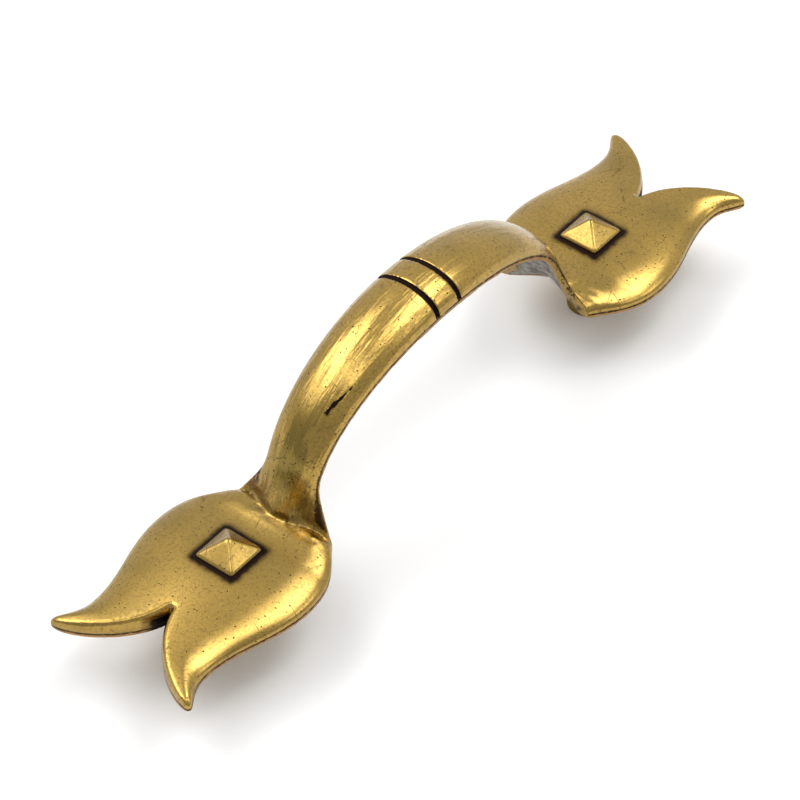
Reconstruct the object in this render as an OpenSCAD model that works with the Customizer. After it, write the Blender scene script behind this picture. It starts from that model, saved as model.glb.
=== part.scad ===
// Cabinet pull, cast in one piece: an arched grip with a hollow back runs down at
// each end into a tulip-shaped foot plate with two swept tips. Each plate carries a
// square plinth with a pyramid stud on top, and a tapped boss below for the fixing
// screw. Millimetres, +Z up. The pull stands on its two boss ends at z = 0, and its
// length runs along X, with the origin midway between the two screws.

/* [Fixing] */
// Distance between the two fixing screws
screw_centres = 76.2; // [70:0.1:96]
// Length of the bosses below the foot plates
boss_length = 9.6; // [4:0.1:20]
// Outer diameter of the bosses
boss_d = 5.8; // [4.8:0.1:7]
// Diameter of the tapped holes
thread_d = 4; // [2:0.1:4.2]
// Depth of the tapped holes from the boss ends
thread_depth = 9.5; // [4:0.1:11]
// Radius of the rounded rim at the boss ends
boss_rim_r = 0.3; // [0.1:0.1:0.7]
// Radius of the fillet between boss and plate
boss_fillet_r = 0.8; // [0.2:0.1:1.6]

/* [Foot plates] */
// Greatest width of a plate, level with its stud
plate_w = 25; // [22:0.1:32]
// Width of a plate at its waist, before the tips sweep out
waist_w = 18.8; // [16:0.1:22]
// Width of a plate where it runs into the grip
neck_w = 15.6; // [14:0.1:18]
// Distance between the two tips of a plate, measured at their outer corners
tip_spread = 23.1; // [20:0.1:30]
// Distance from the screw to the neck of the plate
neck_reach = 10.9; // [9:0.1:13]
// Distance from the screw to the waist
waist_reach = 15.3; // [12:0.1:17]
// Distance from the screw to the ends of the tips
tip_reach = 20.7; // [18.5:0.1:26]
// Distance from the screw to the corner of the notch
notch_reach = 11.2; // [8:0.1:13]
// Thickness of the plates where their dome runs out
plate_t = 2.3; // [1.8:0.1:4]
// Extra height of the dome at the middle of a plate
dome_h = 1.15; // [0:0.05:1.5]
// Height of the upright rim around a plate
rim_h = 1; // [0.5:0.1:1.6]
// Width of the rounding along the outer edge
outer_round = 4.4; // [1:0.1:5]
// Width of the rounding along the notch
inner_round = 0.9; // [0.3:0.1:1.5]
// Width of the blunt end of each tip
tip_end_w = 0.5; // [0.3:0.1:1]

/* [Studs] */
// Side of the square plinth and pyramid
stud_side = 6.15; // [4:0.05:8]
// Height of the plinth above the top of the dome
plinth_h = 0.3; // [0.1:0.05:2]
// Height of the pyramid above its plinth
pyramid_h = 2.5; // [1:0.1:4]

/* [Grip] */
// Height of the lower edge of the grip above the plates' underside, at its middle
finger_h = 19.7; // [16:0.1:30]
// Width of the grip at its middle
grip_w = 10.5; // [9:0.1:13]
// Depth of the grip at its middle, from lower edge to crown
grip_t = 3.9; // [3.4:0.1:6]
// Width of the grip where it is narrowest, above the plates
ankle_w = 8.2; // [7:0.1:9.5]
// Depth of the grip where it is narrowest
ankle_t = 2.0; // [1.8:0.1:3]
// Height of the narrowest place above the plates' underside
ankle_h = 7; // [5:0.1:9]
// Height of the upright band along both lower edges
band_h = 0.7; // [0.3:0.1:1]
// Width of the flat lip on each side of the hollow back
lip_w = 0.9; // [0.6:0.1:1.5]
// Thickness of the wall between the hollow back and the crown
crown_wall = 1.2; // [0.9:0.1:1.7]
// Thickness of that wall at the foot, where the hollow opens out under a plate
foot_wall = 0.8; // [0.8:0.1:1.6]

/* [Grooves] */
// Distance between the two grooves across the grip
groove_gap = 4.4; // [2:0.1:12]
// Width of a groove
groove_w = 0.75; // [0.3:0.05:1.2]
// Depth of a groove
groove_depth = 0.4; // [0.2:0.05:0.8]

/* [Hidden] */

$fn = 48;
eps = 0.01;

// Places along the length, and heights
screw_x = screw_centres / 2;
neck_x = screw_x - neck_reach;
notch_x = screw_x + notch_reach;
waist_x = screw_x + waist_reach;
tip_x = screw_x + tip_reach;
under_z = boss_length;
top_z = under_z + plate_t;
dome_z = top_z + dome_h;

// Number of steps in each stretch of the lofts
arch_steps = 13;
flare_steps = 9;
crown_steps = 16;
body_steps = 15;
petal_steps = 15;
round_steps = 4;
dome_steps = 4;

// How the curves bend. Each value places a control point from the end of its curve,
// as a share of the stretch or as a distance.
arch_crown_share = 0.48;
arch_shoulder_share = 0.9;
arch_shoulder_drop = 0.37;
arch_half_share = 1.07;
ankle_back = 2.1;
ankle_lean = 0.75;
ankle_rise = 0.75;
flare_start_x = 0.9;
flare_start_share = 0.38;
flare_end_x = 0.3;
flare_end_share = 0.19;
foot_head_x = 4.3;
foot_head_z = 0.9;
foot_crease_x = 1.2;
foot_crease_z = 0.6;
ankle_head_x = 0.6;
ankle_head_share = 0.3;
neck_pull_x = 3.2;
neck_pull_y = 2.3;
shoulder_pull = 5.6;
shoulder_run = 6;
waist_pull = 5.5;
waist_run = 2.6;
tip_pull_x = 1.8;
tip_pull_y = 0.9;
notch_pull_x = 4.9;
notch_pull_y = 1.2;
tip_inner_x = 0.1;
tip_inner_y = 4;
shoulder_shift = 0.4;

// The wings of the feet: how fast they widen as they come down, the height above the
// plates' underside where they start, and how gently they do. The bulge of a section
// grows with them up to its limit.
wing_slope = 0.64;
wing_start = 6.5;
wing_soft = 0.7;
bulge_round = 0.5;
bulge_gain = 0.3;
bulge_limit = 2.5;

// A point on a cubic curve with the four control points p
function curve(p, t) =
    p[0] * pow(1 - t, 3) + 3 * p[1] * t * pow(1 - t, 2)
    + 3 * p[2] * pow(t, 2) * (1 - t) + p[3] * pow(t, 3);

// Quarter-round of height 1: 0 at the edge, 1 from the distance r inwards
function quarter(d, r) = sqrt(1 - pow(1 - min(1, max(0, d) / r), 2));

// A solid from closed rings that all have the same number of points
module loft(rings) {
    n = len(rings[0]);
    last = len(rings) - 1;
    polyhedron(
        points = [for (ring = rings) each ring],
        faces = [
            [for (i = [n - 1 : -1 : 0]) i],
            [for (i = [0 : n - 1]) last * n + i],
            for (k = [0 : last - 1], i = [0 : n - 1], half = [0, 1])
                let (j = (i + 1) % n, a = k * n, b = a + n)
                half == 0 ? [a + i, b + j, b + i] : [a + i, a + j, b + j]
        ],
        convexity = 8);
}

// The grip is a chain of D-shaped sections. Each section has its foot on the lower
// edge, its head on the crown line, its own half width, and a bulge: 0.5 is a round
// D, and larger values draw the sides out into the thin wings of the feet.
ankle_x = neck_x - ankle_back;
ankle_z = under_z + ankle_h;
edge_z = under_z + finger_h;
crown_z = edge_z + grip_t;

ankle_edge = [ankle_x, ankle_z];
ankle_head = ankle_edge + ankle_t * [ankle_lean, ankle_rise];

// Half of an arch in the plane y = 0, from its top at height z down to the point end
function arch_line(z, end) = [
    [0, z],
    [arch_crown_share * end[0], z],
    [arch_shoulder_share * end[0], z - arch_shoulder_drop * (z - end[1])],
    end
];
arch_edge = arch_line(edge_z, ankle_edge);
arch_head = arch_line(crown_z, ankle_head);
arch_half = [grip_w, grip_w, arch_half_share * ankle_w, ankle_w] / 2;

flare_edge = [
    ankle_edge,
    ankle_edge + [flare_start_x, -flare_start_share * ankle_h],
    [neck_x - flare_end_x, under_z + flare_end_share * ankle_h],
    [neck_x, under_z]
];
flare_head = [
    ankle_head,
    ankle_head + [ankle_head_x, -ankle_head_share * ankle_h],
    [neck_x + foot_crease_x, top_z + foot_crease_z],
    [neck_x + foot_head_x, under_z + foot_head_z]
];

// How far the wings stand out from the sides of the grip at the height z
function wing_spread(z) =
    wing_slope * wing_soft * ln(1 + exp((wing_start - (z - under_z)) / wing_soft));

// One station: [lower edge, crown, half width, bulge, depth of the hollow]
function winged(edge, head, half, wall) =
    let (spread = wing_spread(edge[1]))
    [edge, head, min(half + spread, neck_w / 2),
     min(bulge_round + bulge_gain * pow(spread, 2), bulge_limit), norm(head - edge) - wall];
function arch_station(t) =
    winged(curve(arch_edge, t), curve(arch_head, t), curve(arch_half, t), crown_wall);
function flare_station(t) =
    winged(curve(flare_edge, t), curve(flare_head, t), ankle_w / 2,
           crown_wall + (foot_wall - crown_wall) * t);
half_stations = [
    for (i = [0 : arch_steps]) arch_station(i / arch_steps),
    for (i = [1 : flare_steps]) flare_station(i / flare_steps)
];
function mirrored(station) =
    let (edge = station[0], head = station[1])
    [[-edge[0], edge[1]], [-head[0], head[1]], station[2], station[3], station[4]];
stations = [
    for (i = [len(half_stations) - 1 : -1 : 1]) mirrored(half_stations[i]),
    each half_stations
];

// A point of a section: y across, h along the line from lower edge to crown
function section_point(station, y, h) =
    let (foot = station[0], line = station[1] - foot, p = foot + line * (h / norm(line)))
    [p[0], y, p[1]];

// Height of the skin over the lower edge of a section, at y across it
function skin_height(station, y) =
    band_h + (norm(station[1] - station[0]) - band_h)
    * pow(max(0, 1 - pow(y / station[2], 2)), station[3]);

function skin_ring(station) =
    let (w = station[2])
    [
        section_point(station, -w, 0),
        for (i = [0 : crown_steps])
            let (y = -w * cos(180 * i / crown_steps))
            section_point(station, y, skin_height(station, y)),
        section_point(station, w, 0)
    ];

// The hollow follows the skin, a wall's thickness inside it. It starts below the lower
// edge, and reaches at least a little above it.
hollow_floor = 1;
hollow_least = 0.05;
function hollow_ring(station, drop = 0) =
    let (w = station[2] - lip_w, t = station[4], n = crown_steps,
         wall = norm(station[1] - station[0]) - t)
    [
        section_point(station, -w, -hollow_floor) - [0, 0, drop],
        for (i = [0 : n])
            let (a = 180 * i / n, y = -w * cos(a),
                 inside = min(t * sin(a), skin_height(station, y) - wall))
            section_point(station, y, max(hollow_least, inside)) - [0, 0, drop],
        section_point(station, w, -hollow_floor) - [0, 0, drop]
    ];

module grip_skin() {
    loft([for (s = stations) skin_ring(s)]);
}

module hollow_back() {
    n = len(stations) - 1;
    loft([
        hollow_ring(stations[0], hollow_floor),
        for (s = stations) hollow_ring(s),
        hollow_ring(stations[n], hollow_floor)
    ]);
}

// A groove is a thin slab round the crown, less the section that stays inside it
module groove() {
    w = grip_w / 2 - groove_depth;
    h = grip_t - groove_depth;
    rotate([90, 0, 90])
        linear_extrude(groove_w, center = true)
            difference() {
                translate([-grip_w, edge_z + band_h / 2])
                    square([2 * grip_w, 2 * grip_t]);
                polygon([
                    [-w, edge_z],
                    for (i = [0 : crown_steps])
                        let (a = 180 * i / crown_steps)
                        [-w * cos(a), edge_z + band_h + (h - band_h) * sin(a)],
                    [w, edge_z]
                ]);
            }
}

// Half of a plate, y > 0: sections between an inner edge, which is the centre line
// and then the side of the notch, and the outer edge, which is two curves. Each is
// one smooth curve with the control points below, so the tips keep their sweep.
shoulder_x = screw_x - shoulder_shift;
neck_corner = [neck_x, neck_w / 2];
shoulder = [shoulder_x, plate_w / 2];
waist = [waist_x, waist_w / 2];
tip_corner = [tip_x, tip_spread / 2];
tip_inner = tip_corner + [0.8, -0.6] * tip_end_w;
notch_corner = [notch_x, 0];
shoulder_edge = [neck_corner, neck_corner + [neck_pull_x, neck_pull_y],
                 shoulder - [shoulder_pull, 0], shoulder];
waist_edge = [shoulder, shoulder + [shoulder_run, 0], waist - [waist_pull, 0], waist];
tip_edge = [waist, waist + [waist_run, 0], tip_corner - [tip_pull_x, tip_pull_y], tip_corner];
notch_edge = [notch_corner, notch_corner + [notch_pull_x, notch_pull_y],
              tip_inner - [tip_inner_x, tip_inner_y], tip_inner];

// Outer edge from neck to waist by its x: the curves run nearly evenly along x
function edge_y(x) =
    x < shoulder_x
    ? curve(shoulder_edge, solve_t(shoulder_edge, x))[1]
    : curve(waist_edge, solve_t(waist_edge, min(x, waist_x)))[1];
function solve_t(p, x, lo = 0, hi = 1, depth = 22) =
    let (mid = (lo + hi) / 2)
    depth == 0 ? mid
    : curve(p, mid)[0] < x ? solve_t(p, x, mid, hi, depth - 1) : solve_t(p, x, lo, mid, depth - 1);

// Outer edge of a petal: from the notch's station on the waist curve to the tip
notch_t = solve_t(waist_edge, notch_x);
function petal_outer(t) =
    let (s = notch_t + t * (2 - notch_t))
    s < 1 ? curve(waist_edge, s) : curve(tip_edge, s - 1);

// Height of the dome at the point p, where the outer edge of the plate is edge from the
// middle. It runs out smoothly along the pull, at these distances from the screw, and
// down to the rim across it.
dome_to_grip = 15;
dome_to_tips = 26;
function dome(p, edge) =
    let (off = p[0] - screw_x, reach = off < 0 ? dome_to_grip : dome_to_tips)
    dome_h * pow(max(0, 1 - pow(off / reach, 2)), 2) * (1 - pow(p[1] / edge, 2));

// One cross-section of the half plate, from the inner point a to the outer point b.
// crest is how much of the full thickness it reaches, and open says that its inner
// side is the wall of the notch.
function plate_ring(a, b, crest, open) =
    let (width = norm(b - a), dir = (b - a) / width,
         ro = min(outer_round, 0.45 * width), ri = min(inner_round, 0.25 * width),
         rise = (plate_t - rim_h) * crest, low = under_z + rim_h)
    [
        [a[0], a[1], under_z],
        for (i = [0 : round_steps - 1])
            let (ang = 90 * i / round_steps, d = ri * (1 - cos(ang)), p = a + dir * d,
                 near = quarter(norm(p - notch_corner), inner_round))
            [p[0], p[1], low + (rise + crest * dome(p, b[1])) * (open ? sin(ang) : near)],
        for (i = [0 : dome_steps - 1])
            let (p = a + dir * (ri + (width - ri - ro) * i / dome_steps))
            [p[0], p[1], low + rise + crest * dome(p, b[1])],
        for (i = [round_steps : -1 : 0])
            let (ang = 90 * i / round_steps, p = b - dir * ro * (1 - cos(ang)))
            [p[0], p[1], low + rise * sin(ang) + crest * dome(p, b[1])],
        [b[0], b[1], under_z]
    ];

module half_plate() {
    loft([
        for (i = [0 : body_steps])
            let (t = i / body_steps, x = neck_x + (notch_x - neck_x) * (1 - pow(1 - t, 1.4)),
                 crest = quarter(x - neck_x + 0.25, 1.6))
            plate_ring([x, 0], [x, edge_y(x)], crest, i == body_steps),
        for (i = [1 : petal_steps])
            let (t = i / petal_steps, a = curve(notch_edge, t), b = petal_outer(t))
            plate_ring(a, b, quarter(norm(b - a), 6), true)
    ]);
}

module foot_plate() {
    half_plate();
    mirror([0, 1, 0])
        half_plate();
}

// The plinth is sunk into the plate, and the pyramid stands on it edge to edge
module stud() {
    translate([screw_x, 0, dome_z - 1])
        linear_extrude(1 + plinth_h)
            square(stud_side, center = true);
    translate([screw_x, 0, dome_z + plinth_h])
        rotate([0, 0, 45])
            cylinder(h = pyramid_h, d1 = stud_side * sqrt(2), d2 = 0, $fn = 4);
}

module boss() {
    r = boss_d / 2;
    sunk = plate_t / 2;
    translate([screw_x, 0, 0])
        rotate_extrude()
            difference() {
                union() {
                    square([r, under_z + sunk]);
                    translate([0, under_z - boss_fillet_r])
                        square([r + boss_fillet_r, boss_fillet_r + sunk]);
                }
                translate([r + boss_fillet_r, under_z - boss_fillet_r])
                    circle(boss_fillet_r);
                difference() {
                    translate([r - boss_rim_r, -eps])
                        square([boss_rim_r + eps, boss_rim_r + eps]);
                    translate([r - boss_rim_r, boss_rim_r])
                        circle(boss_rim_r);
                }
            }
}

module screw_hole() {
    translate([screw_x, 0, -1])
        cylinder(h = thread_depth + 1, d = thread_d);
}

module both_ends() {
    children();
    mirror([1, 0, 0])
        children();
}

module pull_casting() {
    color("#B0914A")
        difference() {
            union() {
                grip_skin();
                both_ends() {
                    foot_plate();
                    stud();
                    boss();
                }
            }
            hollow_back();
            for (side = [-1, 1])
                translate([side * groove_gap / 2, 0, 0])
                    groove();
            both_ends()
                screw_hole();
        }
}

pull_casting();
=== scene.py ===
"""Looks of the cabinet pull: a zinc casting with antique brass plating.

The casting is built from closed shells (grip, foot plates, studs, bosses), which are
joined and cut with Boolean modifiers, remeshed, and softened in their corners as a
mould leaves them. Lengths in the functions are millimetres, as in the part's source.
"""

import math
from types import SimpleNamespace

import bmesh
import bpy
import numpy as np
from mathutils import Matrix, Vector, kdtree
from mathutils.bvhtree import BVHTree


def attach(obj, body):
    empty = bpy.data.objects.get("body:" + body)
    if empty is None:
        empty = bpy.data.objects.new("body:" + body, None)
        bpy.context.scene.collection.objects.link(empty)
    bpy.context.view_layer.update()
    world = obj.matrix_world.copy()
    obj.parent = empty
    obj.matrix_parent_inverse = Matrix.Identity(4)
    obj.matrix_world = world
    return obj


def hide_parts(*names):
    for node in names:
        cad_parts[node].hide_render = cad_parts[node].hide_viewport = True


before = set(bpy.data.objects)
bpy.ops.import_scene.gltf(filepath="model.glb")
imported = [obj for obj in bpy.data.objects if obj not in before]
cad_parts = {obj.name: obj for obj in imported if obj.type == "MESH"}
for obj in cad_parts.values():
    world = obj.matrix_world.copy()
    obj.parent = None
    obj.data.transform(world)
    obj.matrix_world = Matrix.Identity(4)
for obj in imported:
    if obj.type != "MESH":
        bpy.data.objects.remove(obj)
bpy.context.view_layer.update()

bl_info = {
    "name": "Antique brass cabinet pull",
    "version": (1, 0, 0),
    "blender": (4, 5, 0),
    "location": "View3D > Sidebar > Pull",
    "description": "Builds a cast cabinet pull with tulip feet, and its studio",
    "category": "Object",
}

MM = 0.001
NODE = "pull_casting"


def millimetres(group):
    """The lengths of a property group, in millimetres."""
    names = [p.identifier for p in group.bl_rna.properties if p.unit == "LENGTH"]
    return SimpleNamespace(**{name: getattr(group, name) / MM for name in names})


def length(name, description, default):
    """A length property. The default is in millimetres."""
    return bpy.props.FloatProperty(
        name=name, description=description, default=default * MM, unit="LENGTH",
        subtype="DISTANCE", min=0.0, precision=5)


def colour(name, description, default):
    """A colour property. The default is a hex value, as on a paint chart."""
    return bpy.props.FloatVectorProperty(
        name=name, description=description, default=linear(default), subtype="COLOR",
        size=4, min=0.0, max=1.0)


def linear(hex_value):
    """The linear colour of an sRGB hex value."""
    channels = [int(hex_value[i:i + 2], 16) / 255 for i in (1, 3, 5)]
    return tuple(c / 12.92 if c <= 0.04045 else ((c + 0.055) / 1.055) ** 2.4
                 for c in channels) + (1.0,)


class PullGrip(bpy.types.PropertyGroup):
    finger_height: length("Finger height", "Lower edge of the grip above the plates' underside",
                          19.7)
    width: length("Width", "Width of the grip at its middle", 10.5)
    depth: length("Depth", "Depth of the grip at its middle", 3.9)
    ankle_width: length("Ankle width", "Width where the grip is narrowest", 8.2)
    ankle_depth: length("Ankle depth", "Depth where the grip is narrowest", 2.0)
    ankle_height: length("Ankle height", "Height of the narrowest place", 7.0)
    band: length("Edge band", "Upright band along the lower edges", 0.7)
    lip: length("Lip", "Flat lip on each side of the hollow back", 0.9)
    wall: length("Wall", "Wall between the hollow back and the crown", 1.2)
    foot_wall: length("Foot wall", "The same wall where the hollow opens under a plate", 0.8)
    groove_gap: length("Groove gap", "Distance between the two grooves", 4.4)
    groove_width: length("Groove width", "Width of a groove", 0.75)
    groove_depth: length("Groove depth", "Depth of a groove", 0.4)


class PullPlates(bpy.types.PropertyGroup):
    screw_centres: length("Screw centres", "Distance between the two fixing screws", 76.2)
    width: length("Width", "Greatest width of a plate", 25.0)
    waist_width: length("Waist width", "Width before the tips sweep out", 18.8)
    neck_width: length("Neck width", "Width where the plate runs into the grip", 15.6)
    tip_spread: length("Tip spread", "Distance between the two tips", 23.1)
    neck_reach: length("Neck reach", "From the screw to the neck", 10.9)
    waist_reach: length("Waist reach", "From the screw to the waist", 15.3)
    tip_reach: length("Tip reach", "From the screw to the tips", 20.7)
    notch_reach: length("Notch reach", "From the screw to the corner of the notch", 11.2)
    thickness: length("Thickness", "Thickness where the dome runs out", 2.3)
    dome: length("Dome", "Extra height of the dome at the middle", 1.15)
    rim: length("Rim", "Height of the upright rim", 1.0)
    outer_round: length("Outer rounding", "Width of the rounding along the outer edge", 4.4)
    inner_round: length("Notch rounding", "Width of the rounding along the notch", 0.9)
    tip_end: length("Tip end", "Width of the blunt end of a tip", 0.5)


class PullStuds(bpy.types.PropertyGroup):
    side: length("Side", "Side of the plinth and pyramid", 6.15)
    plinth: length("Plinth height", "Height of the plinth above the dome", 0.3)
    pyramid: length("Pyramid height", "Height of the pyramid above its plinth", 2.5)
    edge: length("Edge", "Rounding of the stud's edges", 0.28)


class PullBosses(bpy.types.PropertyGroup):
    length: length("Length", "Length of the bosses below the plates", 9.6)
    diameter: length("Diameter", "Outer diameter of the bosses", 5.8)
    thread: length("Thread", "Diameter of the tapped holes", 4.0)
    thread_depth: length("Thread depth", "Depth of the tapped holes", 9.5)
    rim: length("Rim", "Rounding of the boss ends", 0.3)
    fillet: length("Fillet", "Fillet between boss and plate", 0.8)


class PullFinish(bpy.types.PropertyGroup):
    grain: length("Casting grain", "Size of the mesh's cells", 0.14)
    brass: colour("Brass", "The plating where it is polished", "#B29145")
    dull_brass: colour("Dull brass", "The plating where it is less polished", "#907738")
    # The mottle colour also paints shade, with tarnish, in the wider hollows
    mottle: colour("Mottle", "The brownish tarnish of the fine mottling", "#5E4728")
    # The olive colour is a painted dark reflection down the legs
    olive_reflection: colour("Olive", "The darker plating down the legs", "#736226")
    strip: colour("Parting strip", "The rougher, redder strip below the parting line", "#A67C4C")
    # The patina colour also paints shade on the wing edges and in the notch corners
    patina_and_shade: colour("Patina", "The dark antiquing in the corners", "#1E1410")
    zinc: colour("Raw zinc", "The unplated back of the casting", "#A8A59C")
    dull_zinc: colour("Dull zinc", "The darker patches of the bare back", "#6E6A60")


# The shape of the curves: places of their control points from the ends of a stretch
ARCH_CROWN, ARCH_SHOULDER, ARCH_DROP, ARCH_HALF = 0.48, 0.9, 0.37, 1.07
ANKLE_BACK, ANKLE_LEAN, ANKLE_RISE = 2.1, 0.75, 0.75
# The wings that spread from the sides of a foot: how fast they widen per millimetre of
# height, where they start above the plates' underside, and how gently
WING_SLOPE, WING_START, WING_SOFT = 0.64, 6.5, 0.7
# The bulge of a section: half a round at the grip, and a bell with thin sides at the feet
ROUND, BELL, BELL_END = 0.5, 0.3, 2.5
# Where the dome of a plate has run out, from its screw
DOME_TO_GRIP, DOME_TO_TIPS = 15, 26
# How far a plate takes to rise out of the grip, and how wide a tip is where it gets thinner
NECK_RISE, TIP_THIN = 1.6, 6
# The nose of a tip: its length, and at its end the share that is left of the plate's
# height, about a line so high above the underside
TIP_NOSE, NOSE_SHARE, NOSE_LINE = 0.9, 0.4, 0.7
# The V-groove of the parting line in a plate's wall: its height, and half its width
SEAM, SEAM_HALF = 0.62, 0.12
# The chamfer at the mouth of a bore, and the pitch and depth of its thread
CHAMFER, THREAD_PITCH, THREAD_CUT = 0.3, 0.7, 0.38
# Rounds of smoothing: over fillets and worn edges, and to find the corners that hold
# patina and the wider hollows that hold tarnish and painted shade
SOFT_ROUNDS, CORNER_ROUNDS, TARNISH_AND_SHADE_ROUNDS = 12, 25, 120
# The most triangles the casting keeps after thinning. A piece of 200,000 triangles or
# more would be thinned for its STL file
MOST_TRIANGLES = 190000
# The long dark flaw in the plating: its middle and its direction
FLAW_PLACE, FLAW_RUN = (-19.35, -2.78, 27.06), (0.849, -0.234, 0.475)


def bezier(points, t):
    """A point on a cubic curve."""
    a, b, c, d = (np.asarray(p, float) for p in points)
    return a * (1 - t) ** 3 + 3 * b * t * (1 - t) ** 2 + 3 * c * t ** 2 * (1 - t) + d * t ** 3


def quarter(distance, radius):
    """A quarter-round of height 1: 0 at the edge, 1 from the radius inwards."""
    return math.sqrt(1 - (1 - min(1.0, max(0.0, distance) / radius)) ** 2)


def places(g, p, b):
    """Where the parts of the pull lie, in millimetres."""
    screw = p.screw_centres / 2
    return SimpleNamespace(
        screw=screw, neck=screw - p.neck_reach, notch=screw + p.notch_reach,
        waist=screw + p.waist_reach, tip=screw + p.tip_reach,
        under=b.length, top=b.length + p.thickness, dome=b.length + p.thickness + p.dome,
        edge=b.length + g.finger_height, crown=b.length + g.finger_height + g.depth,
        bore=b.thread / 2)


def grip_stations(g, p, at):
    """The sections of the grip from foot to foot: lower edge, crown, half width, bulge
    of the section and wall over the hollow."""
    ankle_edge = np.array([at.neck - ANKLE_BACK, at.under + g.ankle_height])
    ankle_head = ankle_edge + g.ankle_depth * np.array([ANKLE_LEAN, ANKLE_RISE])

    def arch(z, end):
        """A curve from the middle of the grip, at height z, to its end."""
        return [(0, z), (ARCH_CROWN * end[0], z),
                (ARCH_SHOULDER * end[0], z - ARCH_DROP * (z - end[1])), end]

    arch_edge, arch_head = arch(at.edge, ankle_edge), arch(at.crown, ankle_head)
    arch_half = [g.width / 2, g.width / 2, ARCH_HALF * g.ankle_width / 2, g.ankle_width / 2]
    flare_edge = [ankle_edge, ankle_edge + (0.9, -0.38 * g.ankle_height),
                  (at.neck - 0.3, at.under + 0.19 * g.ankle_height), (at.neck, at.under)]
    flare_head = [ankle_head, ankle_head + (0.6, -0.3 * g.ankle_height),
                  (at.neck + 1.2, at.top + 0.6), (at.neck + 4.3, at.under + 0.9)]
    rows = []
    for t in np.linspace(0, 1, 61):
        rows.append((bezier(arch_edge, t), bezier(arch_head, t), bezier(arch_half, t), g.wall))
    for t in np.linspace(0, 1, 41)[1:]:
        rows.append((bezier(flare_edge, t), bezier(flare_head, t), g.ankle_width / 2,
                     g.wall + (g.foot_wall - g.wall) * t))
    stations = []
    for edge, head, half, wall in rows:
        below = (WING_START - (edge[1] - at.under)) / WING_SOFT
        spread = WING_SLOPE * WING_SOFT * math.log1p(math.exp(below))
        bulge = min(ROUND + BELL * spread ** 2, BELL_END)
        stations.append((edge, head, min(half + spread, p.neck_width / 2), bulge, wall))
    mirror = np.array([-1, 1])
    return [(s[0] * mirror, s[1] * mirror, *s[2:]) for s in stations[:0:-1]] + stations


def section_point(station, y, height):
    """A point of a section: y across, height from the lower edge towards the crown."""
    edge, head = station[0], station[1]
    x, z = edge + (head - edge) * (height / np.linalg.norm(head - edge))
    return (x, y, z)


def skin_height(station, band, y):
    """Height of a section over its lower edge."""
    half, bulge = station[2:4]
    depth = np.linalg.norm(station[1] - station[0]) - band
    return band + depth * max(0.0, 1 - (y / half) ** 2) ** bulge


def skin_ring(station, band, steps=96):
    """The outline of a section: an upright band at each side, and the skin over it."""
    half = station[2]
    ring = [section_point(station, -half, 0)]
    for i in range(steps + 1):
        y = -half * math.cos(math.pi * i / steps)
        ring.append(section_point(station, y, skin_height(station, band, y)))
    return ring + [section_point(station, half, 0)]


def hollow_ring(station, band, lip, drop=0.0, steps=64):
    """The hollow back follows the skin, a wall's thickness inside it, and opens 1 mm below
    the lower edges."""
    half, wall = station[2] - lip, station[4]
    depth = np.linalg.norm(station[1] - station[0]) - wall
    ring = [section_point(station, -half, -1)]
    for i in range(steps + 1):
        a = math.pi * i / steps
        y = -half * math.cos(a)
        height = min(depth * math.sin(a), skin_height(station, band, y) - wall)
        ring.append(section_point(station, y, max(0.05, height)))
    ring.append(section_point(station, half, -1))
    return [(x, y, z - drop) for x, y, z in ring]


def groove_ring(x, g, at, steps=64):
    """A thin band that follows the crown, from a groove's depth in it to 2 mm over it."""
    inner, outer = [], []
    for i in range(steps + 1):
        a = math.pi * i / steps
        for ring, extra in ((inner, -g.groove_depth), (outer, 2.0)):
            ring.append((x, -(g.width / 2 + extra) * math.cos(a),
                         at.edge + g.band + (g.depth - g.band + extra) * math.sin(a)))
    return inner + outer[::-1]


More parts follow.
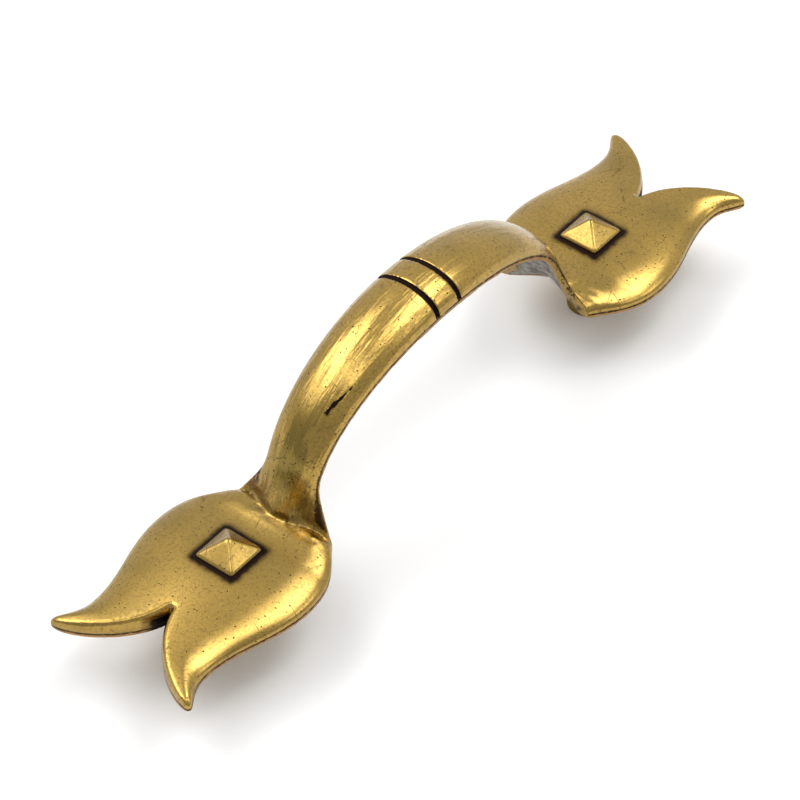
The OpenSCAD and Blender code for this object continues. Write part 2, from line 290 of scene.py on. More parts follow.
def plate_rings(p, at):
    """The sections of half a plate, y > 0, from the neck to the tip. Each runs from its
    inner edge, on the centre line or in the notch, to the outer edge of the plate."""
    neck = np.array([at.neck, p.neck_width / 2])
    shoulder = np.array([at.screw - 0.4, p.width / 2])
    waist = np.array([at.waist, p.waist_width / 2])
    tip = np.array([at.tip, p.tip_spread / 2])
    tip_inner = tip + np.array([0.8, -0.6]) * p.tip_end
    notch = np.array([at.notch, 0.0])
    shoulder_edge = [neck, neck + (3.2, 2.3), shoulder - (5.6, 0), shoulder]
    waist_edge = [shoulder, shoulder + (6, 0), waist - (5.5, 0), waist]
    tip_edge = [waist, waist + (2.6, 0), tip - (1.8, 0.9), tip]
    notch_edge = [notch, notch + (4.9, 1.2), tip_inner - (0.1, 4), tip_inner]

    def at_x(points, x):
        """How far along a curve x lies, from 0 to 1."""
        low, high = 0.0, 1.0
        for _ in range(30):
            middle = (low + high) / 2
            low, high = (middle, high) if bezier(points, middle)[0] < x else (low, middle)
        return middle

    def edge_y(x):
        """The plate's half width at x, up to the waist."""
        points = shoulder_edge if x < shoulder[0] else waist_edge
        return bezier(points, at_x(points, min(x, waist[0])))[1]

    def dome(place, edge):
        """The dome's height at a place, on a section that ends at y = edge."""
        off = place[0] - at.screw
        share = max(0.0, 1 - (off / (DOME_TO_GRIP if off < 0 else DOME_TO_TIPS)) ** 2)
        return p.dome * share ** 2 * (1 - (place[1] / edge) ** 2)

    def ring(a, b, crest, in_notch):
        """The section from a to b, where the top has the share crest of its height."""
        width = np.linalg.norm(b - a)
        along = (b - a) / width
        outer, inner = min(p.outer_round, 0.45 * width), min(p.inner_round, 0.25 * width)
        low, rise = at.under + p.rim, (p.thickness - p.rim) * crest
        line = at.under + SEAM
        points = [(*a, at.under), (*a, line - SEAM_HALF), (*(a + along * SEAM_HALF), line),
                  (*a, line + SEAM_HALF)]
        for i in range(10):
            angle = math.pi / 2 * i / 10
            place = a + along * inner * (1 - math.cos(angle))
            near = quarter(np.linalg.norm(place - notch), p.inner_round)
            share = math.sin(angle) if in_notch else near
            points.append((*place, low + (rise + crest * dome(place, b[1])) * share))
        for i in range(12):
            place = a + along * (inner + (width - inner - outer) * i / 12)
            points.append((*place, low + rise + crest * dome(place, b[1])))
        for i in range(24, -1, -1):
            angle = math.pi / 2 * i / 24
            place = b - along * outer * (1 - math.cos(angle))
            points.append((*place, low + rise * math.sin(angle) + crest * dome(place, b[1])))
        points += [(*b, line + SEAM_HALF), (*(b - along * SEAM_HALF), line),
                   (*b, line - SEAM_HALF), (*b, at.under)]
        middle = at.under + NOSE_LINE
        nose = NOSE_SHARE + (1 - NOSE_SHARE) * quarter(np.linalg.norm(b - tip), TIP_NOSE)
        return [(x, y, middle + (z - middle) * nose) for x, y, z in points]

    rings = []
    steps = 70
    for i in range(steps + 1):
        x = at.neck + (at.notch - at.neck) * (1 - (1 - i / steps) ** 1.4)
        rings.append(ring(np.array([x, 0.0]), np.array([x, edge_y(x)]),
                          quarter(x - at.neck + 0.25, NECK_RISE), i == steps))
    notch_t = at_x(waist_edge, at.notch)
    for i in range(1, steps + 1):
        t = i / steps
        s = notch_t + t * (2 - notch_t)
        a = bezier(notch_edge, t)
        b = bezier(waist_edge, s) if s < 1 else bezier(tip_edge, s - 1)
        rings.append(ring(a, b, quarter(np.linalg.norm(b - a), TIP_THIN), True))
    return rings


def rolled_grid(rings):
    """A closed shell through the rings: a grid is rolled up along them, its seam is
    joined and its two ends are closed."""
    mesh = bmesh.new()
    around, along = len(rings[0]), len(rings)
    bmesh.ops.create_grid(mesh, x_segments=around, y_segments=along - 1, size=1)
    for i, vert in enumerate(mesh.verts):
        vert.co = Vector(rings[i // (around + 1)][i % (around + 1) % around]) * MM
    bmesh.ops.remove_doubles(mesh, verts=mesh.verts, dist=1e-7)
    bmesh.ops.dissolve_degenerate(mesh, edges=mesh.edges, dist=1e-7)
    bmesh.ops.holes_fill(mesh, edges=mesh.edges, sides=0)
    bmesh.ops.recalc_face_normals(mesh, faces=mesh.faces)
    return mesh


def shell(name, mesh):
    """A shell as an object of its own, for the Boolean modifiers."""
    data = bpy.data.meshes.new(name)
    mesh.to_mesh(data)
    mesh.free()
    made = bpy.data.objects.new(name, data)
    bpy.context.scene.collection.objects.link(made)
    return made


def both_ends(name, build):
    """Two shells, one at each end of the pull."""
    shells = []
    for end, side in (("right", 1), ("left", -1)):
        mesh = build()
        if side < 0:
            bmesh.ops.scale(mesh, vec=(-1, 1, 1), verts=mesh.verts)
            bmesh.ops.reverse_faces(mesh, faces=mesh.faces)
        shells.append(shell(f"{name}_{end}", mesh))
    return shells


def plate_mesh(p, at):
    """Half a plate, and its mirror image across the centre line."""
    mesh = rolled_grid(plate_rings(p, at))
    inner = [f for f in mesh.faces if all(abs(v.co.y) < 1e-8 for v in f.verts)]
    bmesh.ops.delete(mesh, geom=inner, context="FACES")
    bmesh.ops.mirror(mesh, geom=mesh.verts[:] + mesh.edges[:] + mesh.faces[:],
                     axis="Y", merge_dist=1e-6)
    bmesh.ops.recalc_face_normals(mesh, faces=mesh.faces)
    return mesh


def stud_mesh(s, at):
    """A square plinth, sunk into the plate, with a pyramid on it edge to edge."""
    mesh = bmesh.new()
    sunk = 1.0
    base = bmesh.ops.create_cube(mesh, size=1)["verts"]
    bmesh.ops.scale(mesh, vec=Vector((s.side, s.side, s.plinth + sunk)) * MM, verts=base)
    bmesh.ops.translate(mesh, vec=Vector((at.screw, 0, at.dome + (s.plinth - sunk) / 2)) * MM,
                        verts=base)
    top = max(mesh.faces, key=lambda f: f.calc_center_median().z)
    peak = bmesh.ops.poke(mesh, faces=[top])["verts"]
    bmesh.ops.translate(mesh, vec=(0, 0, s.pyramid * MM), verts=peak)
    keep = at.dome * MM
    edges = [e for e in mesh.edges if max(v.co.z for v in e.verts) > keep]
    bmesh.ops.bevel(mesh, geom=edges, offset=s.edge * MM, offset_type="OFFSET",
                    affect="EDGES", segments=3, profile=0.5, material=-1, clamp_overlap=True)
    bmesh.ops.recalc_face_normals(mesh, faces=mesh.faces)
    return mesh


def lathe(profile, x, steps=72):
    """A turned shell from a profile of (radius, height) points."""
    mesh = bmesh.new()
    verts = [mesh.verts.new(Vector((r, 0, z)) * MM) for r, z in profile]
    edges = [mesh.edges.new(pair) for pair in zip(verts[:-1], verts[1:])]
    bmesh.ops.spin(mesh, geom=verts + edges, cent=(0, 0, 0), axis=(0, 0, 1), dvec=(0, 0, 0),
                   angle=2 * math.pi, steps=steps, use_merge=True, use_duplicate=False)
    bmesh.ops.remove_doubles(mesh, verts=mesh.verts, dist=1e-7)
    bmesh.ops.translate(mesh, vec=(x * MM, 0, 0), verts=mesh.verts)
    bmesh.ops.recalc_face_normals(mesh, faces=mesh.faces)
    return mesh


def boss_mesh(b, at):
    """A boss with a rounded rim and a fillet under the plate, 1 mm of it in the plate."""
    radius = b.diameter / 2
    profile = [(0, 0)]
    for i in range(7):
        a = math.pi / 2 * i / 6
        profile.append((radius - b.rim + b.rim * math.sin(a), b.rim - b.rim * math.cos(a)))
    for i in range(9):
        a = math.pi / 2 * i / 8
        profile.append((radius + b.fillet * (1 - math.cos(a)),
                        at.under - b.fillet * (1 - math.sin(a))))
    profile += [(radius + b.fillet, at.under + 1), (0, at.under + 1)]
    return lathe(profile, at.screw)


def bore_mesh(b, at):
    """The hole for the screw, with a chamfer at its mouth."""
    mouth = at.bore + CHAMFER
    return lathe([(0, -1), (mouth, -1), (mouth, 0), (at.bore, CHAMFER),
                  (at.bore, b.thread_depth), (0, b.thread_depth)], at.screw)


def apply_modifiers(subject):
    """Applies an object's modifiers to its mesh."""
    depsgraph = bpy.context.evaluated_depsgraph_get()
    mesh = bpy.data.meshes.new_from_object(subject.evaluated_get(depsgraph))
    subject.modifiers.clear()
    old = subject.data
    subject.data = mesh
    bpy.data.meshes.remove(old)


def combine(subject, others, operation):
    """Joins the other shells to the subject, or cuts them from it."""
    for other in others:
        cut = subject.modifiers.new(other.name, "BOOLEAN")
        cut.operation, cut.solver, cut.object = operation, "MANIFOLD", other
        apply_modifiers(subject)
        if not subject.data.polygons:
            raise RuntimeError(f"{other.name} left nothing of {subject.name}")


def coordinates(mesh, attribute="co"):
    """The points of a mesh, or their normals, as rows of an array, in metres."""
    values = np.empty(3 * len(mesh.vertices))
    mesh.vertices.foreach_get(attribute, values)
    return values.reshape(-1, 3)


def write_attribute(mesh, name, values):
    """Keeps a value for each point, for the material to read."""
    mesh.attributes.new(name, "FLOAT", "POINT").data.foreach_set("value", values.astype("f4"))


def cavity_of(mesh, rounds):
    """How far each point lies below its smoothed neighbourhood, in millimetres: above 0
    in a corner, below 0 on an edge."""
    edges = np.empty(2 * len(mesh.edges), int)
    mesh.edges.foreach_get("vertices", edges)
    a, b = edges.reshape(-1, 2).T
    count = np.bincount(np.concatenate((a, b)), minlength=len(mesh.vertices))
    start = coordinates(mesh)
    smooth = start.copy()
    for _ in range(rounds):
        smooth = np.stack([np.bincount(a, smooth[b, i], len(start)) +
                           np.bincount(b, smooth[a, i], len(start)) for i in range(3)], 1)
        smooth /= count[:, None]
    return ((smooth - start) * coordinates(mesh, "normal")).sum(1) / MM


def along_the_pull(mesh, stations, at):
    """Each point's place along the lower edge, from foot to foot, its height above that
    edge, and the same height with the plates' own measured from their underside."""
    points = coordinates(mesh) / MM
    edge = np.array([s[0] for s in stations])
    up = np.array([s[1] - s[0] for s in stations])
    up /= np.linalg.norm(up, axis=1)[:, None]
    run = np.gradient(edge, axis=0)
    run /= np.linalg.norm(run, axis=1)[:, None]
    travel = np.concatenate(([0], np.cumsum(np.linalg.norm(np.diff(edge, axis=0), axis=1))))
    travel -= travel[-1] / 2
    tree = kdtree.KDTree(len(edge))
    for i, (x, z) in enumerate(edge):
        tree.insert((x, 0, z), i)
    tree.balance()
    nearest = np.array([tree.find((x, 0, z))[1] for x, _, z in points])
    off = points[:, ::2] - edge[nearest]
    place = travel[nearest] + (off * run[nearest]).sum(1)
    height = (off * up[nearest]).sum(1)
    on_plate = np.abs(points[:, 0]) > at.neck
    return place, height, np.where(on_plate, points[:, 2] - at.under, height)


def near_shell(mesh, cutter, reach):
    """1 on the points that a cutter left, within reach of it, and 0 elsewhere."""
    tree = BVHTree.FromObject(cutter, bpy.context.evaluated_depsgraph_get())
    return np.array([tree.find_nearest(v.co, reach * MM)[0] is not None
                     for v in mesh.vertices], float)


def smooth_where(subject, name, weight, rounds):
    """Smooths the object where the weight is above 0."""
    group = subject.vertex_groups.new(name=name)
    for i in np.flatnonzero(weight):
        group.add([int(i)], float(weight[i]), "REPLACE")
    smooth = subject.modifiers.new(name, "SMOOTH")
    smooth.factor, smooth.iterations, smooth.vertex_group = 0.5, rounds, name
    apply_modifiers(subject)


class PULL_OT_casting(bpy.types.Operator):
    """Build the casting: grip, foot plates, studs and bosses in one piece"""

    bl_idname = "pull.casting"
    bl_label = "Casting"

    def execute(self, context):
        scene = context.scene
        g, p, s, b = (millimetres(group) for group in (
            scene.pull_grip, scene.pull_plates, scene.pull_studs, scene.pull_bosses))
        finish = scene.pull_finish
        at = places(g, p, b)
        stations = grip_stations(g, p, at)
        skin = [skin_ring(station, g.band) for station in stations]
        casting = shell("casting", rolled_grid(skin))
        added = both_ends("plate", lambda: plate_mesh(p, at))
        added += both_ends("stud", lambda: stud_mesh(s, at))
        added += both_ends("boss", lambda: boss_mesh(b, at))
        # The hollow runs out below the feet, by 1 mm
        first, last = (hollow_ring(stations[i], g.band, g.lip, drop=1.0) for i in (0, -1))
        hollow = [hollow_ring(station, g.band, g.lip) for station in stations]
        cut = [shell("hollow", rolled_grid([first, *hollow, last]))]
        for side in (-1, 1):
            x, half = side * g.groove_gap / 2, g.groove_width / 2
            cut.append(shell(f"groove_{side}", rolled_grid(
                [groove_ring(x - half, g, at), groove_ring(x + half, g, at)])))
        cut += both_ends("bore", lambda: bore_mesh(b, at))
        combine(casting, added, "UNION")
        combine(casting, cut, "DIFFERENCE")
        grain = casting.modifiers.new("grain", "REMESH")
        grain.mode, grain.voxel_size, grain.use_smooth_shade = "VOXEL", finish.grain, True
        apply_modifiers(casting)
        soften = casting.modifiers.new("mould_softness", "SMOOTH")
        soften.factor, soften.iterations = 0.5, 2
        apply_modifiers(casting)
        # Corners more than 0.02 mm deep fill, and edges more than 0.03 mm proud wear, but
        # the grooves over the crown stay sharp
        depth = cavity_of(casting.data, SOFT_ROUNDS)
        filled = np.clip((depth - 0.02) / 0.04, 0, 1)
        smooth_where(casting, "corner_fillets", filled, SOFT_ROUNDS)
        crown = np.abs(coordinates(casting.data)[:, 0]) < (g.groove_gap + 1) * MM
        worn = np.where(crown, 0, np.clip((-depth - 0.03) / 0.05, 0, 1))
        smooth_where(casting, "worn_edges", worn, SOFT_ROUNDS)
        write_attribute(casting.data, "cavity", cavity_of(casting.data, CORNER_ROUNDS))
        thin = casting.modifiers.new("fewer_faces", "DECIMATE")
        # The remeshed faces have four sides, so each is two triangles
        thin.ratio = min(1.0, MOST_TRIANGLES / (2 * len(casting.data.polygons)))
        apply_modifiers(casting)
        casting.vertex_groups.clear()
        place, height, seam = along_the_pull(casting.data, stations, at)
        # The hollow is bare, but the plating wraps 0.35 mm round its lips
        bare = near_shell(casting.data, cut[0], 0.15) * (seam > 0.35)
        # Tarnish and painted shade for the wider hollows
        tarnish_and_shade = cavity_of(casting.data, TARNISH_AND_SHADE_ROUNDS)
        for name, values in (("along", place), ("height", height), ("seam", seam),
                             ("bare", bare), ("tarnish_and_shade", tarnish_and_shade)):
            write_attribute(casting.data, name, values)
        for other in added + cut:
            bpy.data.objects.remove(other)
        casting.data.shade_smooth()
        casting.data.materials.clear()
        casting.data.materials.append(antique_brass(finish, s, g, at))
        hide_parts(NODE)
        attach(casting, "root")
        return {"FINISHED"}


# The setting of a Map Range that starts and ends softly
SOFT = {"interpolation_type": "SMOOTHSTEP"}


def add_node(tree, kind, inputs=None, **settings):
    """Adds a shader node and returns its first output. An input is given a socket to
    link to, or a plain value."""
    made = tree.nodes.new("ShaderNode" + kind)
    for name, value in settings.items():
        setattr(made, name, value)
    for key, value in (inputs or {}).items():
        if isinstance(value, bpy.types.NodeSocket):
            tree.links.new(made.inputs[key], value)
        else:
            made.inputs[key].default_value = value
    return next((socket for socket in made.outputs if socket.enabled), None)


def new_material(name):
    """A material without nodes, and its node tree."""
    made = bpy.data.materials.new(name)
    made.use_nodes = True
    made.node_tree.nodes.clear()
    return made, made.node_tree


def antique_brass(finish, s, g, at):
    """Antique brass plating on a polished zinc casting, under a thin lacquer: a warm satin
    metal with soft streaky reflections, a painted dark reflection down the legs, near-black
    antiquing left in corners, grooves and pits, painted shade on the wing edges, in the
    notches and in the wider hollows, and dull grey bare zinc in the hollow back."""
    made, tree = new_material("antique_brass_plating")

    def add(kind, inputs=None, **settings):
        return add_node(tree, kind, inputs, **settings)

    # Lengths are in millimetres, and a pattern's scale is 1 over its size. A Map Range turns
    # what lies between its inputs 1 and 2 into what lies between 3 and 4, or 0 and 1
    place = add("TexCoord").node.outputs["Object"]
    mm = add("VectorMath", {0: place, "Scale": 1 / MM}, operation="SCALE")
    x, y, z = add("SeparateXYZ", {0: mm}).node.outputs
    end = add("Math", {0: x}, operation="ABSOLUTE")
    side = add("Math", {0: y}, operation="ABSOLUTE")
    cavity, tarnish_and_shade, along, height, seam, bare = (
        add("Attribute", attribute_name=name).node.outputs["Fac"]
        for name in ("cavity", "tarnish_and_shade", "along", "height", "seam", "bare"))

    # Uneven polish: the plating is warmer where the buff wore it bright
    broad = add("TexNoise", {0: mm, "Scale": 1 / 9, "Detail": 3.0})
    broad = add("MapRange", {0: broad, 1: 0.1, 2: 0.7}, **SOFT)
    speckle = add("TexNoise", {0: mm, "Scale": 1 / 0.4, "Detail": 4.0})
    dull = add("MapRange", {0: speckle, 1: 0.42, 2: 0.7, 4: 0.7}, **SOFT)
    mottle = add("TexNoise", {0: mm, "Scale": 1 / 0.35, "Detail": 3.0, "Roughness": 0.65})
    mottle = add("MapRange", {0: mottle, 1: 0.5, 2: 0.72, 4: 0.5}, **SOFT)

    # Antiquing left in pits of about 0.2 mm and in fine scratches
    ragged = add("TexNoise", {0: mm, "Scale": 1 / 0.7, "Detail": 4.0})
    ragged = add("Math", {0: ragged, 1: 0.5}, operation="SUBTRACT")
    cells = add("TexVoronoi", {0: mm, "Scale": 1 / 0.7})
    chosen = add("SeparateColor", {0: cells.node.outputs["Color"]})
    chosen = add("MapRange", {0: chosen, 1: 0.3, 2: 0.6, 4: 0.9})
    pits = add("TexNoise", {0: mm, "Scale": 1 / 0.2, "Detail": 2.0})
    pits = add("Math", {0: pits, 1: 0.4, 2: cells}, operation="MULTIPLY_ADD")
    pits = add("MapRange", {0: pits, 1: 0.39, 2: 0.3}, **SOFT)
    pits = add("Math", {0: pits, 1: chosen}, operation="MULTIPLY")
    scratch = add("TexVoronoi", {0: mm, "Scale": 1 / 4}, feature="DISTANCE_TO_EDGE")
    scratch = add("MapRange", {0: scratch, 1: 0.017, 2: 0.004, 4: 0.5})
    few = add("TexNoise", {0: mm, "Scale": 1 / 2.5, "Detail": 2.0})
    few = add("MapRange", {0: few, 1: 0.54, 2: 0.6})
    scratch = add("Math", {0: scratch, 1: few}, operation="MULTIPLY")

    # Antiquing left in the corners
    crease = add("Math", {0: ragged, 1: 0.45, 2: cavity}, operation="MULTIPLY_ADD")
    crease = add("MapRange", {0: crease, 1: 0.07, 2: 0.24}, **SOFT)

    # A dark, soft-edged halo round each stud, which also covers the plinth's walls
    away = add("Math", {0: end, 1: at.screw}, operation="SUBTRACT")
    away = add("Math", {0: away}, operation="ABSOLUTE")
    away = add("CombineXYZ", {0: away, 1: side})
    away = add("VectorMath", {0: away, 1: (s.side / 2, s.side / 2, 0)}, operation="SUBTRACT")
    away = add("VectorMath", {0: away, 1: (0, 0, 0)}, operation="MAXIMUM")
    away = add("VectorMath", {0: away}, operation="LENGTH").node.outputs["Value"]
    away = add("Math", {0: ragged, 1: 0.6, 2: away}, operation="MULTIPLY_ADD")
    halo = add("MapRange", {0: away, 1: 1.45, 2: 0.35, 4: 0.75}, **SOFT)
    fringe = add("MapRange", {0: away, 1: 2.3, 2: 0.7, 4: 0.25}, **SOFT)
    halo = add("Math", {0: halo, 1: fringe}, operation="ADD")
    below = add("MapRange", {0: z, 1: at.dome + s.plinth, 2: at.dome + s.plinth - 0.15})
    above = add("MapRange", {0: z, 1: at.under, 2: at.under + 1.5})
    for limit in (below, above):
        halo = add("Math", {0: halo, 1: limit}, operation="MULTIPLY")

    # Black grooves over the crown, which stop at the band along the lower edges
    groove = add("Math", {0: end, 1: g.groove_gap / 2}, operation="SUBTRACT")
    groove = add("Math", {0: groove}, operation="ABSOLUTE")
    groove = add("MapRange", {0: groove, 1: g.groove_width / 2 + 0.07, 2: g.groove_width / 2})
    above = add("MapRange", {0: seam, 1: g.band - 0.1, 2: g.band + 0.1})
    groove = add("Math", {0: groove, 1: above}, operation="MULTIPLY")

    # Painted shade in the corner of each notch, black down its walls but not on the flat
    # back
    off_back = add("MapRange", {0: z, 1: at.under + 0.02, 2: at.under + 0.15})
    corner = add("CombineXYZ", {0: end, 1: side})
    corner = add("VectorMath", {0: corner, 1: (at.notch, 0, 0)}, operation="DISTANCE")
    corner = add("Math", {0: ragged, 1: 2.0, 2: corner.node.outputs["Value"]},
                 operation="MULTIPLY_ADD")
    corner = add("MapRange", {0: corner, 1: 4.4, 2: 2.0}, **SOFT)
    below = add("MapRange", {0: z, 1: at.top - 0.1, 2: at.top - 0.45}, **SOFT)
    for limit in (below, off_back):
        corner = add("Math", {0: corner, 1: limit}, operation="MULTIPLY")

    # Painted shade on the thin wing edges at the feet, darker on the side towards -Y
    climb = add("Math", {0: z, 1: at.under}, operation="SUBTRACT")
    reach = add("MapRange", {0: climb, 1: 0.0, 2: WING_START,
                             3: g.ankle_width / 2 + WING_SLOPE * WING_START,
                             4: g.ankle_width / 2}, clamp=False)
    reach = add("Math", {0: reach, 1: side}, operation="SUBTRACT")
    reach = add("Math", {0: ragged, 1: reach}, operation="ADD")
    wing_shade = add("MapRange", {0: reach, 1: 0.25, 2: -0.3, 4: 0.85}, **SOFT)
    off_edge = add("MapRange", {0: seam, 1: 0.3, 2: 0.45}, **SOFT)
    darker = add("MapRange", {0: y, 1: -1, 2: 1, 3: 1.0, 4: 0.12})
    below = add("MapRange", {0: climb, 1: 7.0, 2: 5.0}, **SOFT)
    above = add("MapRange", {0: z, 1: at.top, 2: at.top + 0.3})
    off_plate = add("MapRange", {0: end, 1: at.neck + 1.8, 2: at.neck + 1.0})
    for limit in (off_edge, darker, below, above, off_plate):
        wing_shade = add("Math", {0: wing_shade, 1: limit}, operation="MULTIPLY")

    # The parting line of the mould, broken in places, and faint low on the wings towards +Y
    uneven = add("Math", {0: ragged, 1: 0.35, 2: seam}, operation="MULTIPLY_ADD")
    flash = add("MapRange", {0: uneven, 1: 0.44, 2: 0.56}, **SOFT)
    below = add("MapRange", {0: uneven, 1: 0.88, 2: 0.74, 4: 0.9}, **SOFT)
    whole = add("MapRange", {0: ragged, 1: -0.22, 2: -0.05}, **SOFT)
    clear = add("MapRange", {0: climb, 1: 2.0, 2: 5.0})
    on_plate = add("MapRange", {0: end, 1: at.neck + 0.3, 2: at.neck + 1.2})
    for more in (on_plate, darker):
        clear = add("Math", {0: clear, 1: more}, operation="MAXIMUM")
    for limit in (below, whole, clear):
        flash = add("Math", {0: flash, 1: limit}, operation="MULTIPLY")

    # Cracks in the rough lips that the mould left along the wings
    crack = add("MapRange", {0: ragged, 1: 0.04, 2: 0.13, 4: 0.75}, **SOFT)
    lip = add("MapRange", {0: seam, 1: 0.75, 2: 0.45}, **SOFT)
    leg = add("MapRange", {0: end, 1: at.neck - 6, 2: at.neck - 3}, **SOFT)
    off_plate = add("MapRange", {0: end, 1: at.neck + 1.0, 2: at.neck}, **SOFT)
    for limit in (leg, off_plate):
        lip = add("Math", {0: lip, 1: limit}, operation="MULTIPLY")
    crack = add("Math", {0: crack, 1: lip}, operation="MULTIPLY")

    # A long dark flaw in the plating, on one flank of the grip, wider at its lower end
    flaw = add("VectorMath", {0: mm, 1: FLAW_PLACE}, operation="SUBTRACT")
    run = add("VectorMath", {0: flaw, 1: FLAW_RUN}, operation="DOT_PRODUCT")
    run = run.node.outputs["Value"]
    line = add("VectorMath", {0: FLAW_RUN, "Scale": run}, operation="SCALE")
    off = add("VectorMath", {0: flaw, 1: line}, operation="DISTANCE").node.outputs["Value"]
    off = add("Math", {0: ragged, 1: 0.7, 2: off}, operation="MULTIPLY_ADD")
    width = add("MapRange", {0: run, 1: -2.2, 2: 2.5, 3: 0.34, 4: 0.12})
    off = add("Math", {0: off, 1: width}, operation="DIVIDE")
    flaw = add("MapRange", {0: off, 1: 1.1, 2: 0.7}, **SOFT)
    run = add("Math", {0: run}, operation="ABSOLUTE")
    run = add("MapRange", {0: run, 1: 2.8, 2: 2.2}, **SOFT)
    flaw = add("Math", {0: flaw, 1: run}, operation="MULTIPLY")

    # The patina colour goes on the pits, scratches, creases, halos, grooves, flash line, cracks
    # and flaw, and as painted shade on the wing edges and in the notch corners
    patina_and_shade = pits
    for more in (scratch, crease, halo, groove, flash, corner, wing_shade, crack, flaw):
        patina_and_shade = add("Math", {0: patina_and_shade, 1: more}, operation="MAXIMUM")

    # Long streaks along the grip, where the buff ran
    flow = add("CombineXYZ", {0: along, 1: y, 2: height})
    flow = add("Mapping", {0: flow, 3: (1 / 14, 1 / 2.2, 1 / 2.2)})
    flow = add("TexNoise", {0: flow, "Scale": 1.0, "Detail": 3.5, "Roughness": 0.57})

    # Brown tarnish and painted shade in the wider hollows, and a painted dark reflection
    # as streaks down the legs
    tarnish_and_shade = add("Math", {0: ragged, 1: 0.2, 2: tarnish_and_shade}, operation="MULTIPLY_ADD")
    tarnish_and_shade = add("MapRange", {0: tarnish_and_shade, 1: 0.05, 2: 0.35, 4: 0.2}, **SOFT)
    leg = add("Math", {0: flow, 1: 7.0, 2: side}, operation="MULTIPLY_ADD")
    leg = add("MapRange", {0: leg, 1: 5.6, 2: 4.9, 4: 0.8}, **SOFT)
    above = add("MapRange", {0: z, 1: at.top + 2.0, 2: at.top + 5.0}, **SOFT)
    below = add("MapRange", {0: z, 1: at.top + 15, 2: at.top + 11}, **SOFT)
    for limit in (above, below):
        leg = add("Math", {0: leg, 1: limit}, operation="MULTIPLY")

    # Redder plating below the parting line, on walls that the buff didn't reach
    wall = add("MapRange", {0: seam, 1: 1.0, 2: 0.6}, **SOFT)
    strip = add("MapRange", {0: seam, 1: 0.85, 2: 0.6, 4: 0.8}, **SOFT)
    golden = add("MapRange", {0: lip, 3: 1.0, 4: 0.15})
    for limit in (off_back, golden):
        strip = add("Math", {0: strip, 1: limit}, operation="MULTIPLY")

    # Bare zinc, with darker patches and stains
    zinc = add("TexNoise", {0: mm, "Scale": 1 / 0.6, "Detail": 4.0})
    zinc = add("MapRange", {0: zinc, 1: 0.3, 2: 0.7}, **SOFT)
    zinc = add("Mix", {0: zinc, 6: finish.zinc, 7: finish.dull_zinc}, data_type="RGBA")
    stain = add("TexNoise", {0: mm, "Scale": 1 / 2.5, "Detail": 3.0})
    stain = add("MapRange", {0: stain, 1: 0.45, 2: 0.72, 4: 0.65}, **SOFT)
    zinc = add("Mix", {0: stain, 6: zinc, 7: finish.patina_and_shade}, data_type="RGBA")

    # The colours and the roughness, each over the one before, and lacquer on the brass
    colour = add("Mix", {0: broad, 6: finish.dull_brass, 7: finish.brass}, data_type="RGBA")
    for share, tint in ((dull, finish.dull_brass), (mottle, finish.mottle),
                        (tarnish_and_shade, finish.mottle), (leg, finish.olive_reflection), (strip, finish.strip),
                        (patina_and_shade, finish.patina_and_shade), (bare, zinc)):
        colour = add("Mix", {0: share, 6: colour, 7: tint}, data_type="RGBA")
    rough = add("MapRange", {0: speckle, 1: 0.3, 2: 0.7, 3: 0.17, 4: 0.27})
    for share, value in ((wall, 0.45), (patina_and_shade, 0.6), (bare, 0.55)):
        rough = add("Mix", {0: share, 2: rough, 3: value})
    lacquer = add("MapRange", {0: patina_and_shade, 3: 0.35, 4: 0.0})
    lacquer = add("Mix", {0: bare, 2: lacquer, 3: 0.0})

    # The screw thread up each bore, from the height and the turn round the screw
    across = add("Math", {0: x}, operation="SIGN")
    across = add("Math", {0: across, 1: -at.screw, 2: x}, operation="MULTIPLY_ADD")
    turn = add("Math", {0: y, 1: across}, operation="ARCTAN2")
    turn = add("Math", {0: turn, 1: -0.5 / math.pi}, operation="MULTIPLY")
    turn = add("Math", {0: z, 1: 1 / THREAD_PITCH, 2: turn}, operation="MULTIPLY_ADD")
    thread = add("Math", {0: turn, 1: 0.5}, operation="PINGPONG")
    across = add("CombineXYZ", {0: across, 1: y})
    across = add("VectorMath", {0: across}, operation="LENGTH").node.outputs["Value"]
    bore = add("MapRange", {0: across, 1: at.bore + 0.1, 2: at.bore + 0.05,
                            4: 2 * THREAD_CUT})
    below = add("MapRange", {0: z, 1: at.top, 2: at.top - 0.1})
    bore = add("Math", {0: bore, 1: below}, operation="MULTIPLY")

    # A rise of the plate towards the grip, lumps of the casting in the crease between
    # them, and the cast skin of the walls
    rise = add("MapRange", {0: end, 1: at.neck + 6.5, 2: at.neck + 1.0, 4: 0.7}, **SOFT)
    lumps = add("TexNoise", {0: mm, "Scale": 1 / 2.2, "Detail": 0.5})
    lumps = add("Math", {0: lumps, 1: 0.5}, operation="SUBTRACT")
    rugged = add("MapRange", {0: end, 1: at.neck + 3.4, 2: at.neck + 2.2, 4: 0.35}, **SOFT)
    foot = add("MapRange", {0: end, 1: at.neck + 0.8, 2: at.neck + 1.8}, **SOFT)
    rugged = add("Math", {0: rugged, 1: foot}, operation="MULTIPLY")
    cast = add("Math", {0: ragged, 1: wall}, operation="MULTIPLY")

